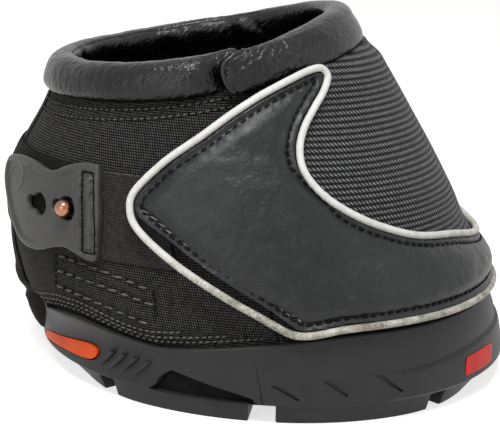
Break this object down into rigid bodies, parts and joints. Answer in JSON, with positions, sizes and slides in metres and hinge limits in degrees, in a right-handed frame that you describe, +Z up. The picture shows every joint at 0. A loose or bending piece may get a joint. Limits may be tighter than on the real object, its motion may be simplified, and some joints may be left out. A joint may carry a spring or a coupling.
{
  "type": "hoof boot",
  "caption": "Horse hoof boot: rubber cup sole with tread, woven upper, padded collar, wrap-over front flap with piped leather overlay, rubber latch tab on a stud.",
  "frame": {"origin": "middle of the sole's underside, on the tread's centre pad, which stands on the ground", "axes": "+X towards the toe, -Y the side with the latch tab, +Z up"},
  "size_m": [0.1632, 0.148, 0.115],
  "materials": {
    "moulded_rubber": "satin moulded",
    "tab_rubber": "satin moulded",
    "orange_rubber": "satin moulded",
    "red_rubber": "satin moulded",
    "woven_nylon": "basket weave",
    "ribbed_nylon": "ribbed weave",
    "lining_cloth": "brushed",
    "seam_tape": "woven tape",
    "webbing": "woven",
    "elastic": "woven elastic",
    "hook_and_loop": "hook and loop",
    "mesh_cloth": "open mesh",
    "foam": "foam",
    "collar_leather": "soft, crinkled",
    "overlay_leather": "fine grain",
    "piping": "reflective",
    "copper": "polished copper"
  },
  "bodies": {
    "boot": {"outsole": "moulded_rubber", "insole_pad": "foam", "side_inlay_near": "orange_rubber", "side_inlay_far": "orange_rubber", "toe_mark_near": "red_rubber", "toe_mark_far": "red_rubber", "drain_mesh_near": "mesh_cloth", "drain_mesh_far": "mesh_cloth", "near_quarter": "woven_nylon", "far_quarter": "woven_nylon", "heel_panel": "seam_tape", "lining": "lining_cloth", "heel_strap": "webbing", "strap_anchor": "collar_leather", "elastic_band": "elastic", "loop_patch": "hook_and_loop", "inner_loop_patch": "hook_and_loop", "collar_cover": "collar_leather", "collar_foam": "foam", "inner_flap_seam": "seam_tape", "flap_seam": "seam_tape", "stud": "copper"},
    "outer_flap": {"flap_body": "ribbed_nylon", "flap_overlay": "overlay_leather", "flap_piping": "piping", "flap_collar": "collar_leather", "hook_patch": "hook_and_loop"},
    "inner_flap": {"inner_flap": "woven_nylon"},
    "latch_tab": {"latch_tab": "tab_rubber"}
  },
  "joints": [
    {"name": "outer_flap_swing", "type": "hinge", "parent": "boot", "child": "outer_flap", "pos_m": [0.012, 0.07603, 0.0275], "axis": [-0.2292, -0.3275, 0.9166], "range_deg": [0, 110]},
    {"name": "inner_flap_swing", "type": "hinge", "parent": "boot", "child": "inner_flap", "pos_m": [0.014, -0.07042, 0.0275], "axis": [-0.2286, 0.3341, 0.9144], "range_deg": [-45, 0]},
    {"name": "latch_tab_swing", "type": "hinge", "parent": "boot", "child": "latch_tab", "pos_m": [-0.05498, -0.05671, 0.04454], "axis": [-0.0509, 0.2781, 0.9592], "range_deg": [0, 100]}
  ],
  "couplings": [
    {"joint": "inner_flap_swing", "follows": "outer_flap_swing", "ratio": -0.4}
  ]
}
